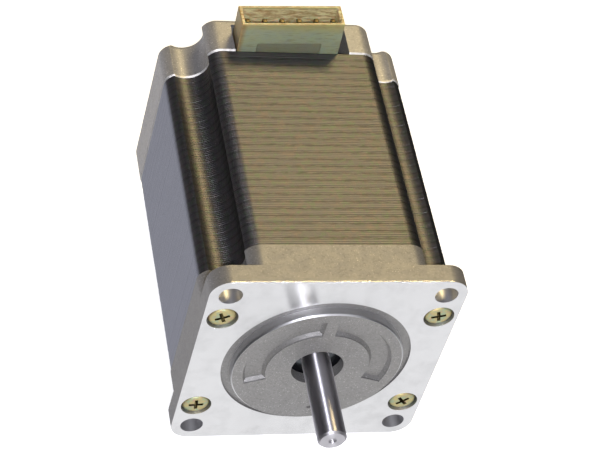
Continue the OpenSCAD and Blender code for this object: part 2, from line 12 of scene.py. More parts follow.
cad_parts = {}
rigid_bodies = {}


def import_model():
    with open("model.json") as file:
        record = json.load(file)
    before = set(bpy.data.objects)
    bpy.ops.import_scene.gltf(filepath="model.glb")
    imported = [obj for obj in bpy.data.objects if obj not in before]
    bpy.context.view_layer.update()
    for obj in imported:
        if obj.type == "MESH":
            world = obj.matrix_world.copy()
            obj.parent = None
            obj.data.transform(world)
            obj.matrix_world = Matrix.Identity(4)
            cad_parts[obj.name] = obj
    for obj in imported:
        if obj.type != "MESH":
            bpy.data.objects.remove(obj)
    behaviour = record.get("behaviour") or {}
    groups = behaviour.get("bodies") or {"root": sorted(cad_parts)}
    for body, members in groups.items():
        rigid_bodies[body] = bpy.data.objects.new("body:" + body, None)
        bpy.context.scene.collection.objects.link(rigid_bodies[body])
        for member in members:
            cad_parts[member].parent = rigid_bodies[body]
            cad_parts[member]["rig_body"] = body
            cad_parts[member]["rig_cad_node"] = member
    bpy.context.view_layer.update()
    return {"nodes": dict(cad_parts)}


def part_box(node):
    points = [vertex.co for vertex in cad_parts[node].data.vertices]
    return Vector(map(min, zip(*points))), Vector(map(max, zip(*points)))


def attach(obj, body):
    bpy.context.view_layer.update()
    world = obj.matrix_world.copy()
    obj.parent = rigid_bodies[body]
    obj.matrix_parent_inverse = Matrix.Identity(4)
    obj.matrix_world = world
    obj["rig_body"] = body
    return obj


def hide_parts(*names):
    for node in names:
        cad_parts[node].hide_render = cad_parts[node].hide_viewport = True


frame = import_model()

bl_info = {
    "name": "Stepper Motor Looks",
    "version": (1, 0, 0),
    "blender": (4, 5, 0),
    "location": "3D View > Sidebar > Motor",
    "description": "Models and finishes the visible pieces of a square-flange stepper motor",
    "category": "Object",
}

MM = 0.001

# Places along the motor, in metres: the flange's mounting face is at 0, the shaft points to -Y
PILOT_FACE = -1.6 * MM
POCKET_DEPTH = 1 * MM
STACK_FRONT = 10 * MM
STACK_END = 66 * MM
MOTOR_END = 76 * MM

# Places across the motor, from the shaft's axis
FLOOR = -28.2 * MM
CAP_HALF = 28.2 * MM
STACK_HALF = 28 * MM
HOLE_PLACE = 23.57 * MM
SCREW_X = 23.9 * MM
SCREW_Z = 15.9 * MM
NOTCH_SIDE = 14 * MM

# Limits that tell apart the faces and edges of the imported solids, by place and by normal
NEAR = 0.01 * MM
SQUARE_ON = 0.99
EDGE_ON = 0.1
POCKET_RADII = 11.4 * MM, 16.5 * MM
PILOT_WALL_RADII = 18.4 * MM, 19.3 * MM
GROOVE_FLOOR = 0.6 * MM
FLANGE_TOP = 28.15 * MM
FLANGE_RIM = 24 * MM
RUBBED_DEPTH = 0.4 * MM
HOLE_REACH = 3 * MM
SEAT_REACH = 3.8 * MM
DRILLED_DEPTHS = 0.2 * MM, 4.4 * MM
SCREW_REACH = 2.2 * MM
NOTCH_TOP = 28 * MM
CAP_REACH = 27.9 * MM
STACK_REACH = 27.5 * MM
JOINT_REACH = 27.2 * MM

# A bevel so narrow that the short sides of a rounded outline never hold it back
HAIR = 0.02 * MM

# Vertices this close become one, and faces this level become one
MERGE = 0.001 * MM
STACK_MERGE = 0.002 * MM
LEVEL = math.radians(0.3)

# The laminations: how far a packet's first sheet lies below the others, the share of a sheet's
# thickness that is its joint, and the seed of their stray
PACKET_DROP = 0.02 * MM
JOINT_SHARE = 0.03
STRAY_SEED = 7

# The tie screws' cross recess, and the outlines that are spun: radius and Y place in millimetres
CROSS_WIDTH = 0.8 * MM
CROSS_SPAN = 3.6 * MM
CROSS_PLACE = 0.35 * MM
CROSS_OVERRUN = 0.6 * MM
CROSS_SINK = 1.1 * MM
CROSS_TAPER = 0.7
SCREW_EDGE = 0.05 * MM
SCREW_OUTLINE = (
    (0, 0.1), (1.3, 0.12), (2.1, 0.18), (2.6, 0.3), (2.9, 0.5), (3.08, 0.8), (3.15, 1.2),
    (3.15, 2.3), (3.05, 2.4), (1.5, 2.4), (1.5, 74.4), (1.1, 74.8), (0, 74.8),
)
SHAFT_OUTLINE = (
    (0, -19.7), (0.78, -20.44), (0.9, -20.57), (1.0, -20.6), (2.58, -20.6), (2.72, -20.56),
    (3.12, -20.16), (3.16, -20.11), (3.175, -20.02), (3.175, 0.14), (3.12, 0.2), (2.975, 0.22),
    (2.975, 0.98), (3.12, 1.0), (3.175, 1.05), (3.175, 5.98), (3.95, 5.98), (4.0, 6.03),
    (4.0, 68.45), (3.95, 68.5), (3.175, 68.5), (3.175, 72.98), (2.7, 73.47), (0, 73.48),
)

# The camera stands where the photograph was taken from
CAMERA_PLACE = Vector((-126.42, -257.06, 359.84)) * MM
CAMERA_TURN = [math.radians(a) for a in (40.3963, -12.1423, -9.7649)]
CAMERA_LENS = 126.551
CAMERA_SENSOR = 36

# A Mix node's sockets for colours, whose names its sockets for numbers have too
SHARE, FIRST, SECOND, MIXED = 0, 6, 7, 2


def linear(hex_colour):
    """An sRGB hex colour as linear red, green, blue and alpha."""
    parts = [int(hex_colour[i : i + 2], 16) / 255 for i in (0, 2, 4)]
    return tuple(c / 12.92 if c <= 0.04045 else ((c + 0.055) / 1.055) ** 2.4 for c in parts) + (1,)


def length(name, description, millimetres):
    """A size that a user can change."""
    return FloatProperty(
        name=name, description=description, default=millimetres * MM, min=0, unit="LENGTH", precision=6
    )


def colour(name, description, hex_colour):
    """A colour that a user can change."""
    return FloatVectorProperty(
        name=name, description=description, default=linear(hex_colour),
        size=4, min=0, max=1, subtype="COLOR",
    )


def power(name, description, watts):
    """A light's power that a user can change."""
    return FloatProperty(name=name, description=description, default=watts, min=0, unit="POWER")


class MotorSizes(bpy.types.PropertyGroup):
    """Sizes of the modelled details"""

    cast_edge: length("Cast edge", "Rounding of the castings' outer edges", 0.22)
    rubbed_edge: length("Rubbed edge", "Width of the worn edge along the flange's top", 0.38)
    joint_edge: length("Joint edge", "Width of the rubbed edge where the rear cap meets the stack", 0.5)
    rear_edge: length("Rear edge", "Rounding around the rear cap's back face", 1.1)
    pocket_slope: length("Pocket slope", "Width of the sloped sides of the pockets in the pilot", 0.6)
    pocket_wall: length("Pocket wall", "Height of the pockets' straight sides, above the slope", 0.3)
    lamination: length("Lamination", "Thickness of one lamination", 0.5)
    lamination_edge: length("Lamination edge", "Width of the rounded edges on each lamination", 0.05)
    lamination_proud: length("Lamination relief", "Height of a lamination's edge above the joints", 0.03)
    lamination_stray: length("Lamination stray", "Largest shift of one lamination to the side", 0.012)
    packet: IntProperty(
        name="Laminations in a packet", description="Laminations stacked before the next are turned",
        default=4, min=1,
    )
    header_edge: length("Header edge", "Rounding of the header's moulded edges", 0.28)
    pin_edge: length("Pin edge", "Bevel around the pins' tips", 0.2)


class MotorColours(bpy.types.PropertyGroup):
    """Colours of the visible finishes"""

    casting: colour("Casting", "Die-cast aluminium", "8A8988")
    # Inside the header: painted much lighter than the outer nylon, as painted light against the cavity's
    # shade
    stain: colour("Stain", "Aged nylon inside the header", "F1E8B4")
    machined: colour("Machined", "Freshly cut aluminium", "E2E2E4")
    lamination: colour("Lamination", "Cut edges of the steel laminations", "68676A")
    header: colour("Header", "Natural nylon of the header", "A6AE88")
    screw: colour("Screw", "Yellow zinc on the tie screws", "C2B684")
    shaft: colour("Shaft", "Ground steel of the shaft", "C6C4CA")
    board: colour("Board", "Solder mask on the circuit board", "3F6B45")
    copper: colour("Copper", "Enamelled copper wire", "B5652F")


class MotorStudio(bpy.types.PropertyGroup):
    """Light and floor"""

    key: power("Key light", "Warm light over the motor's rear", 6.1)
    flash: power("Flash", "Neutral light by the camera", 1.75)
    front: power("Front lamp", "Small lamp that draws a streak on the faced flange", 0.6)
    window: power("Window", "Dim strip at the right", 0.035)
    floor: colour("Floor", "Pale floor", "FFFFFF")


# Modelling helpers


def only(piece):
    """Leaves edit mode and selects one object, so that the next operator acts on it alone."""
    if bpy.context.object and bpy.context.object.mode != "OBJECT":
        bpy.ops.object.mode_set(mode="OBJECT")
    bpy.ops.object.select_all(action="DESELECT")
    bpy.context.view_layer.objects.active = piece
    if piece:
        piece.select_set(True)


def edit(piece, kind="FACE"):
    """Enters edit mode with nothing selected."""
    only(piece)
    bpy.ops.object.mode_set(mode="EDIT")
    bpy.ops.mesh.select_mode(type=kind)
    bpy.ops.mesh.select_all(action="DESELECT")


def pick(piece, kind, test):
    """Selects the verts, edges or faces that pass a test, and stops the script if there are none."""
    mesh = bmesh.from_edit_mesh(piece.data)
    mesh.normal_update()
    found = [item for item in getattr(mesh, kind) if test(item)]
    if not found:
        raise RuntimeError(f"{piece.name}: nothing to select among its {kind}")
    for item in found:
        item.select_set(True)
    mesh.select_flush_mode()
    bmesh.update_edit_mesh(piece.data)


def rename(piece, name):
    piece.name = piece.data.name = name
    return piece


def cad_copy(node, name):
    """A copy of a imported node's mesh, with its loose triangles merged and its flat faces joined."""
    only(frame["nodes"][node])
    bpy.ops.object.duplicate()
    piece = rename(bpy.context.object, name)
    piece.parent = None
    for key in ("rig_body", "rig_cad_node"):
        del piece[key]
    piece.data.materials.clear()
    bpy.ops.mesh.customdata_custom_splitnormals_clear()
    edit(piece)
    bpy.ops.mesh.select_all(action="SELECT")
    bpy.ops.mesh.remove_doubles(threshold=MERGE)
    bpy.ops.mesh.dissolve_limited(angle_limit=LEVEL)
    only(piece)
    return piece


def modify(piece, kind, **settings):
    """Adds a modifier with its settings and applies it."""
    only(piece)
    made = piece.modifiers.new(kind.lower(), kind)
    for name, value in settings.items():
        setattr(made, name, value)
    bpy.ops.object.modifier_apply(modifier=made.name)


def round_edges(piece, width, angle=35, segments=2):
    """Rounds every edge sharper than the angle."""
    modify(
        piece, "BEVEL", width=width, segments=segments, limit_method="ANGLE",
        angle_limit=math.radians(angle), use_clamp_overlap=True, miter_outer="MITER_ARC",
    )


def smooth(piece, angle=30):
    """Shades round walls smooth and keeps flat faces flat."""
    only(piece)
    bpy.ops.object.shade_smooth_by_angle(angle=math.radians(angle))
    modify(piece, "WEIGHTED_NORMAL", keep_sharp=True, weight=100)


def spun(name, points, steps):
    """A closed round piece, spun about the shaft axis from an outline of radius and Y place in mm."""
    only(None)
    bpy.ops.mesh.primitive_plane_add(size=1, location=(0, 0, 0))
    piece = rename(bpy.context.object, name)
    edit(piece, "VERT")
    bpy.ops.mesh.select_all(action="SELECT")
    bpy.ops.mesh.merge(type="CENTER")
    bpy.ops.mesh.select_all(action="SELECT")
    place = Vector((points[0][0], points[0][1], 0)) * MM
    bpy.ops.transform.translate(value=place)
    for radius, y in points[1:]:
        step = Vector((radius, y, 0)) * MM - place
        bpy.ops.mesh.extrude_region_move(TRANSFORM_OT_translate={"value": step})
        place += step
    bpy.ops.mesh.select_all(action="SELECT")
    bpy.ops.mesh.spin(steps=steps, angle=math.tau, center=(0, 0, 0), axis=(0, 1, 0))
    bpy.ops.mesh.select_all(action="SELECT")
    bpy.ops.mesh.remove_doubles(threshold=MERGE)
    bpy.ops.mesh.normals_make_consistent(inside=False)
    only(piece)
    return piece


def paint(piece, materials, choose=None):
    """Gives a piece its materials, and each face the one that choose says."""
    for material in materials:
        piece.data.materials.append(material)
    if choose:
        for face in piece.data.polygons:
            face.material_index = choose(face)


def settle(piece, body, slot, *nodes):
    """Rides a finished piece on its body and hides the nodes that it stands for."""
    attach(piece, body)
    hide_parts(*nodes)


def from_axis(point):
    """A point's distance from the shaft's axis."""
    return math.hypot(point.x, point.z)


def from_corner(point, x, z):
    """A point's distance from the nearest of the four axes at x and z, one in each corner."""
    return math.hypot(abs(point.x) - x, abs(point.z) - z)


# Materials


def output_of(source):
    """The output to link: the one given, or a node's main one."""
    if isinstance(source, bpy.types.NodeSocket):
        return source
    return source.outputs[MIXED if source.bl_idname == "ShaderNodeMix" else 0]


def add_node(material, kind, sockets=(), ramp=(), **settings):
    """Adds a shader node: settings are its own, and sockets, by name or number, take a value or a link."""
    tree = material.node_tree
    made = tree.nodes.new("ShaderNode" + kind)
    for name, value in settings.items():
        setattr(made, name, value)
    for name, value in dict(sockets).items():
        if isinstance(value, (bpy.types.Node, bpy.types.NodeSocket)):
            tree.links.new(output_of(value), made.inputs[name])
        else:
            made.inputs[name].default_value = value
    for i, (place, value) in enumerate(ramp):
        stops = made.color_ramp.elements
        stop = stops[i] if i < len(stops) else stops.new(place)
        stop.position = place
        stop.color = value if isinstance(value, tuple) else (value, value, value, 1)
    return made


def new_material(name, base, metallic, roughness, **sockets):
    """A material whose constants are set on the shader itself."""
    made = bpy.data.materials.new(name)
    made.use_nodes = True
    shader = made.node_tree.nodes["Principled BSDF"]
    shader.inputs["Base Color"].default_value = tuple(base)
    shader.inputs["Metallic"].default_value = metallic
    shader.inputs["Roughness"].default_value = roughness
    for socket, value in sockets.items():
        shader.inputs[socket.replace("_", " ")].default_value = value
    return made


def wire(material, socket, source):
    """Links a node to the material's shader."""
    shader = material.node_tree.nodes["Principled BSDF"]
    material.node_tree.links.new(output_of(source), shader.inputs[socket])


def shade(base, factor):
    """A colour made lighter or darker."""
    return tuple(min(c * factor, 1) for c in tuple(base)[:3]) + (1,)


def mottle(material, where, base, other, size, low=0.35, high=0.65, detail=3):
    """Mixes two colours in soft patches of a given size."""
    patch = add_node(
        material, "TexNoise", {"Vector": where, "Scale": 1 / size, "Detail": detail, "Roughness": 0.6}
    )
    share = add_node(material, "ValToRGB", {"Fac": patch}, ramp=[(low, 0.0), (high, 1.0)])
    return add_node(material, "Mix", {SHARE: share, FIRST: base, SECOND: other}, data_type="RGBA")


def cast_aluminium(name, base):
    """Die-cast aluminium, blasted and dull: its oxide skin scatters light, and worn grains, more metallic,
    are painted 2.2 times lighter as painted glints.

    The blast's grains are about 0.1 mm wide and are drawn at 0.3 mm, so that they show.
    """
    grain, rough = 0.3 * MM, 0.5
    made = new_material(name, base, 0.45, rough)
    where = add_node(made, "TexCoord").outputs["Object"]
    body = mottle(made, where, tuple(base), shade(base, 0.92), 3.5 * MM, 0.4, 0.7, 4)
    body = mottle(made, where, body, shade(base, 0.7), 0.5 * MM, 0.5, 0.75, 2)
    fine = add_node(made, "TexNoise", {"Vector": where, "Scale": 1 / grain, "Detail": 3, "Roughness": 0.65})
    coarse = add_node(made, "TexNoise", {"Vector": where, "Scale": 1 / (grain * 6), "Detail": 2})
    # Painted glints: grains above the threshold are painted 2.2 times lighter, besides being more metallic
    specks = add_node(made, "ValToRGB", {"Fac": fine}, ramp=[(0.62, 0.0), (0.68, 1.0)])
    lit = add_node(made, "Mix", {SHARE: specks, FIRST: body, SECOND: shade(base, 2.2)}, data_type="RGBA")
    wire(made, "Base Color", lit)
    wire(made, "Metallic", add_node(made, "MapRange", {"Value": specks, "To Min": 0.4, "To Max": 0.85}))
    roughness = add_node(
        made, "MapRange",
        {"Value": coarse, "From Min": 0.3, "From Max": 0.7, "To Min": rough - 0.02, "To Max": rough + 0.03},
    )
    wire(made, "Roughness", roughness)
    height = add_node(made, "Math", {0: fine, 1: coarse}, operation="ADD")
    wire(made, "Normal", add_node(made, "Bump", {"Height": height, "Distance": 0.02 * MM, "Strength": 1.0}))
    return made


def turned_metal(name, base, rough, stretch=1.0, feed=0.16 * MM, along=False):
    """Metal cut on a lathe: rings left by the tool about the shaft axis, which stretch highlights.

    The feed is the rings' spacing across a face, or along the axis where the cut is along it.
    """
    made = new_material(name, base, 1, rough, Anisotropic=stretch)
    where = add_node(made, "TexCoord").outputs["Object"]
    parts = add_node(made, "SeparateXYZ", {"Vector": where})
    outward = add_node(made, "CombineXYZ", {"X": parts.outputs["X"], "Z": parts.outputs["Z"]})
    radius = add_node(made, "VectorMath", {0: outward}, operation="LENGTH")
    wire(made, "Tangent", add_node(made, "CombineXYZ", {"Y": 1.0}) if along else outward)
    across = parts.outputs["Y"] if along else radius.outputs["Value"]
    rings = add_node(
        made, "TexNoise", {"W": across, "Scale": 1 / feed, "Detail": 2, "Roughness": 0.7},
        noise_dimensions="1D",
    )
    stain = add_node(made, "TexNoise", {"Vector": where, "Scale": 1 / (6 * MM), "Detail": 3})
    roughness = add_node(
        made, "MapRange",
        {"Value": stain, "From Min": 0.35, "From Max": 0.65, "To Min": rough - 0.02, "To Max": rough + 0.03},
    )
    wire(made, "Roughness", roughness)
    wire(made, "Base Color", mottle(made, where, tuple(base), shade(base, 0.9), 5 * MM, 0.45, 0.75))
    wire(made, "Normal", add_node(made, "Bump", {"Height": rings, "Distance": 0.006 * MM, "Strength": 1.0}))
    return made


def burnished_edge(name, base, rough):
    """Aluminium edge rubbed bright by handling, with small dents along it."""
    made = new_material(name, base, 1, rough)
    where = add_node(made, "TexCoord").outputs["Object"]
    dents = add_node(
        made, "TexNoise", {"Vector": where, "Scale": 1 / (0.8 * MM), "Detail": 4, "Roughness": 0.7}
    )
    wire(made, "Normal", add_node(made, "Bump", {"Height": dents, "Distance": 0.25 * MM, "Strength": 1.0}))
    return made


def lamination_steel(name, base, sizes):
    """Punched edges of silicon steel: dull and oiled, with painted light that turns the body's side flats
    lighter and bluer.

    Each packet ends in a dark joint and each sheet in a faint one, both ragged where the punch tore.
    """
    made = new_material(name, base, 1, 0.5, Anisotropic=0.4)
    where = add_node(made, "TexCoord").outputs["Object"]
    wire(made, "Tangent", add_node(made, "CombineXYZ", {"Y": 1.0}))
    tint = mottle(made, where, tuple(base), linear("726A68"), 1.6 * MM, 0.45, 0.7)
    tint = mottle(made, where, tint, linear("646E62"), 1.1 * MM, 0.48, 0.7)
    place = add_node(made, "SeparateXYZ", {"Vector": where})
    stretch = add_node(
        made, "Mapping", {"Vector": where, "Scale": (1 / (2.2 * MM), 1 / (0.25 * MM), 1 / (2.2 * MM))}
    )
    streaks = add_node(made, "TexNoise", {"Vector": stretch, "Scale": 1.0, "Detail": 3, "Roughness": 0.6})
    side = add_node(made, "Math", {0: place.outputs["X"]}, operation="ABSOLUTE")
    # Painted light: the side flats turn lighter and bluer, as where a cool lamp at the side lights them, and
    # their joints fade out
    painted_side_light = add_node(
        made, "MapRange", {"Value": side, "From Min": 27.6 * MM, "From Max": 27.95 * MM, "To Max": 0.85},
        interpolation_type="SMOOTHSTEP",
    )
    tint = add_node(made, "Mix", {SHARE: painted_side_light, FIRST: tint, SECOND: linear("B9BCC6")}, data_type="RGBA")
    toward_side = add_node(
        made, "MapRange",
        {"Value": side, "From Min": 17.5 * MM, "From Max": 21 * MM, "To Min": 0.9, "To Max": 0.5},
    )
    off_painted_side_light = add_node(made, "Math", {0: 0.9, 1: painted_side_light}, operation="SUBTRACT")
    kept = add_node(made, "Math", {0: toward_side, 1: off_painted_side_light}, operation="MINIMUM")
    for pitch, width, ragged, strength, joint in (
        (sizes.lamination * sizes.packet, 0.18, 0.26, 0.46, "2E2A28"),
        (sizes.lamination, 0.3, 0.3, 0.24, "3A3532"),
    ):
        waver = add_node(
            made, "MapRange",
            {"Value": streaks, "From Min": 0.3, "From Max": 0.7, "To Min": -ragged / 2, "To Max": ragged / 2},
        )
        turn = add_node(
            made, "MapRange",
            {"Value": place.outputs["Y"], "From Min": STACK_FRONT, "From Max": STACK_FRONT + pitch},
            clamp=False,
        )
        moved = add_node(made, "Math", {0: turn, 1: waver}, operation="ADD")
        off = add_node(made, "Math", {0: moved, 1: 0.5}, operation="PINGPONG")
        near = add_node(
            made, "MapRange",
            {"Value": off, "From Min": width / 4, "From Max": width, "To Min": 1, "To Max": 0},
            interpolation_type="SMOOTHSTEP",
        )
        dark = add_node(made, "Math", {0: near, 1: kept}, operation="MULTIPLY")
        dark = add_node(made, "Math", {0: dark, 1: strength}, operation="MULTIPLY")
        tint = add_node(made, "Mix", {SHARE: dark, FIRST: tint, SECOND: linear(joint)}, data_type="RGBA")
    wire(made, "Base Color", tint)
    fine = add_node(
        made, "TexNoise", {"Vector": where, "Scale": 1 / (0.22 * MM), "Detail": 3, "Roughness": 0.7}
    )
    height = add_node(made, "Math", {0: fine, 1: streaks}, operation="ADD")
    wire(made, "Normal", add_node(made, "Bump", {"Height": height, "Distance": 0.012 * MM, "Strength": 1.0}))
    return made


def header_nylon(base):
    """Natural nylon, injection moulded: light enters it a little way, and its tone is uneven.

    Its upper part is more yellow and its left end darker brown, the sunk panel in front is painted darker as
    painted shade in its recess, and thin dirt lies across.
    """
    made = new_material(
        "natural_nylon", base, 0, 0.42, Subsurface_Weight=0.35, Subsurface_Scale=0.8 * MM, IOR=1.53
    )
    where = add_node(made, "TexCoord").outputs["Object"]
    place = add_node(made, "SeparateXYZ", {"Vector": where})
    tint = mottle(made, where, tuple(base), linear("9BA694"), 3 * MM, 0.4, 0.75)
    # More yellow toward the top of the header, and darker brown at its left end
    rim = add_node(
        made, "MapRange",
        {"Value": place.outputs["Z"], "From Min": 33.5 * MM, "From Max": 37 * MM, "To Max": 0.75},
        interpolation_type="SMOOTHSTEP",
    )
    end = add_node(
        made, "MapRange",
        {"Value": place.outputs["X"], "From Min": -11.8 * MM, "From Max": -13 * MM, "To Max": 0.6},
        interpolation_type="SMOOTHSTEP",
    )
    across = add_node(
        made, "Mapping", {"Vector": where, "Scale": (1 / (3 * MM), 1 / (0.6 * MM), 1 / (0.35 * MM))}
    )
    grime = add_node(made, "TexNoise", {"Vector": across, "Scale": 1.0, "Detail": 4, "Roughness": 0.65})
    film = add_node(made, "MapRange", {"Value": grime, "From Min": 0.52, "From Max": 0.7, "To Max": 0.5})
    # Painted shade: the sunk panel below 31 mm is darkened, as shade in its recess
    sunk = add_node(
        made, "MapRange", {"Value": place.outputs["Y"], "From Min": 66.25 * MM, "From Max": 66.5 * MM}
    )
    low = add_node(made, "Math", {0: place.outputs["Z"], 1: 31 * MM}, operation="LESS_THAN")
    panel = add_node(made, "Math", {0: sunk, 1: low}, operation="MULTIPLY")
    panel = add_node(made, "Math", {0: panel, 1: 0.5}, operation="MULTIPLY")
    for share, stain in ((rim, "B0A25E"), (end, "9C7438"), (film, "6E6038"), (panel, "6E6352")):
        tint = add_node(made, "Mix", {SHARE: share, FIRST: tint, SECOND: linear(stain)}, data_type="RGBA")
    wire(made, "Base Color", tint)
    flow = add_node(made, "TexNoise", {"Vector": where, "Scale": 1 / (1.4 * MM), "Detail": 3})
    wire(made, "Normal", add_node(made, "Bump", {"Height": flow, "Distance": 0.03 * MM, "Strength": 1.0}))
    return made


def stained_nylon(base):
    """The same nylon inside the header: painted a light cream as painted light against the cavity's shade,
    with brown stains drawn out along the row of pins.
    """
    made = new_material("stained_nylon", base, 0, 0.4, Subsurface_Weight=0.3, Subsurface_Scale=0.8 * MM)
    where = add_node(made, "TexCoord").outputs["Object"]
    along = add_node(
        made, "Mapping", {"Vector": where, "Scale": (1 / (2.5 * MM), 1 / (0.5 * MM), 1 / (0.5 * MM))}
    )
    bands = add_node(made, "TexNoise", {"Vector": along, "Scale": 1.0, "Detail": 4, "Roughness": 0.65})
    share = add_node(made, "ValToRGB", {"Fac": bands}, ramp=[(0.4, 0.0), (0.62, 1.0)])
    stains = {SHARE: share, FIRST: tuple(base), SECOND: linear("B89A68")}
    wire(made, "Base Color", add_node(made, "Mix", stains, data_type="RGBA"))
    return made


def tinned_brass():
    """Brass pins with a dip of tin gone dull: warm grey metal with darker patches, no sharp highlight."""
    base = linear("857B5E")
    made = new_material("tinned_brass", base, 1, 0.5)
    where = add_node(made, "TexCoord").outputs["Object"]
    wire(made, "Base Color", mottle(made, where, base, linear("6B5D40"), 1.2 * MM))
    return made


def zinc_plated_steel(base):
    """Steel screws in yellow zinc: the passivated film shifts from green to pink over a soft metal sheen."""
    made = new_material("yellow_zinc_steel", base, 1, 0.46)
    where = add_node(made, "TexCoord").outputs["Object"]
    film = mottle(made, where, tuple(base), linear("A9B596"), 1.5 * MM, 0.45, 0.6)
    film = mottle(made, where, film, linear("C09D88"), 0.9 * MM, 0.56, 0.7)
    wire(made, "Base Color", film)
    rub = add_node(made, "TexNoise", {"Vector": where, "Scale": 1 / (0.4 * MM), "Detail": 3})
    wire(made, "Normal", add_node(made, "Bump", {"Height": rub, "Distance": 0.02 * MM, "Strength": 1.0}))
    return made


def oiled_steel_painted_shade():
    """Steel in the cross recesses, bared by the driver and full of oil and grit: dark brown and blotchy,
    partly painted shade of the recess.
    """
    made = new_material("oiled_recess_steel", linear("3E3822"), 1, 0.5)
    where = add_node(made, "TexCoord").outputs["Object"]
    grit = add_node(made, "TexNoise", {"Vector": where, "Scale": 1 / (0.3 * MM), "Detail": 3})
    # Painted shade: the grit ramp is kept dark, standing in for the shade deep in the cross
    grit_and_painted_shade = add_node(
        made, "ValToRGB", {"Fac": grit}, ramp=[(0.4, linear("2A2418")), (0.7, linear("7A6E48"))]
    )
    wire(made, "Base Color", grit_and_painted_shade)
    return made


def ground_steel(base):
    """Shaft ground between wheels: bright, with fine rings that draw its highlights out around it.

    The wheel's marks are a few hundredths of a millimetre apart and are drawn at 0.12 mm, so that they show.
    """
    made = new_material("ground_steel", base, 1, 0.5, Anisotropic=1.0)
    where = add_node(made, "TexCoord").outputs["Object"]
    wire(made, "Tangent", add_node(made, "CombineXYZ", {"Y": 1.0}))
    place = add_node(made, "SeparateXYZ", {"Vector": where})
    marks = add_node(
        made, "TexNoise", {"W": place.outputs["Y"], "Scale": 1 / (0.12 * MM), "Detail": 4},
        noise_dimensions="1D",
    )
    wear = add_node(made, "TexNoise", {"Vector": where, "Scale": 1 / (2 * MM), "Detail": 4})
    roughness = add_node(
        made, "MapRange",
        {"Value": wear, "From Min": 0.35, "From Max": 0.7, "To Min": 0.41, "To Max": 0.46},
    )
    wire(made, "Roughness", roughness)
    wire(made, "Normal", add_node(made, "Bump", {"Height": marks, "Distance": 0.0015 * MM, "Strength": 1.0}))
    return made


def enamelled_copper(base):
    """Copper wire under clear enamel, wound in layers 0.5 mm apart: glossy reddish brown ridges."""
    made = new_material("enamelled_copper", base, 1, 0.3, Coat_Weight=0.5)
    where = add_node(made, "TexCoord").outputs["Object"]
    parts = add_node(made, "SeparateXYZ", {"Vector": where})
    outward = add_node(made, "CombineXYZ", {"X": parts.outputs["X"], "Z": parts.outputs["Z"]})
    radius = add_node(made, "VectorMath", {0: outward}, operation="LENGTH")
    wires = add_node(made, "Math", {0: radius.outputs["Value"], 1: 0.25 * MM}, operation="PINGPONG")
    wire(made, "Normal", add_node(made, "Bump", {"Height": wires, "Distance": 0.5, "Strength": 1.0}))
    wire(made, "Base Color", mottle(made, where, tuple(base), linear("8C4A22"), 1.5 * MM))
    return made


def grained(name, base, metallic, rough, size, relief, **sockets):
    """A plain finish with a fine grain of a given size and relief, in patches of a darker tone."""
    made = new_material(name, base, metallic, rough, **sockets)
    where = add_node(made, "TexCoord").outputs["Object"]
    wire(made, "Base Color", mottle(made, where, tuple(base), shade(base, 0.8), size * 6))
    grain = add_node(made, "TexNoise", {"Vector": where, "Scale": 1 / size, "Detail": 3})
    wire(made, "Normal", add_node(made, "Bump", {"Height": grain, "Distance": relief, "Strength": 1.0}))
    return made


# Pieces


def on_outline(point):
    """Whether a point lies on the rear cap's outline, away from the screw holes and the header's notch."""
    at_screw = from_corner(point, SCREW_X, SCREW_Z) < SCREW_REACH
    in_notch = abs(point.x) < NOTCH_SIDE and 0 < point.z < NOTCH_TOP
    return from_axis(point) > CAP_REACH and not at_screw and not in_notch


def round_outline(piece, y, inward, width, segments):
    """Rounds the outline at one end of the rear cap: a hair-wide bevel, whose rings then move apart."""
    edit(piece, "EDGE")
    pick(
        piece, "edges",
        lambda e: all(abs(v.co.y - y) < NEAR and on_outline(v.co) for v in e.verts)
        and any(abs(f.normal.y) < EDGE_ON for f in e.link_faces),
    )
    bpy.ops.mesh.bevel(offset=HAIR, segments=segments, affect="EDGES", clamp_overlap=False)
    grow, notched = width - HAIR, y == STACK_END
    for step in range(segments + 1):
        turn = math.radians(90 * step / segments)
        depth, inset = 1 - math.sin(turn), 1 - math.cos(turn)
        # Beside the notch the outline is the flat top, which moves down; the rest moves to the axis
        for flat in (True, False) if notched else (False,):
            edit(piece, "VERT")
            pick(
                piece, "verts",
                lambda v: abs(abs(v.co.y - y) - HAIR * depth) < 0.02 * HAIR and on_outline(v.co)
                and flat == (notched and abs(v.co.x) < NOTCH_SIDE and v.co.z > 0),
            )
            bpy.ops.transform.translate(value=(0, inward * depth * grow, -inset * grow if flat else 0))
            if not flat:
                share = 1 - inset * grow / CAP_HALF
                bpy.ops.transform.resize(value=(share, 1, share), center_override=(0, 0, 0))


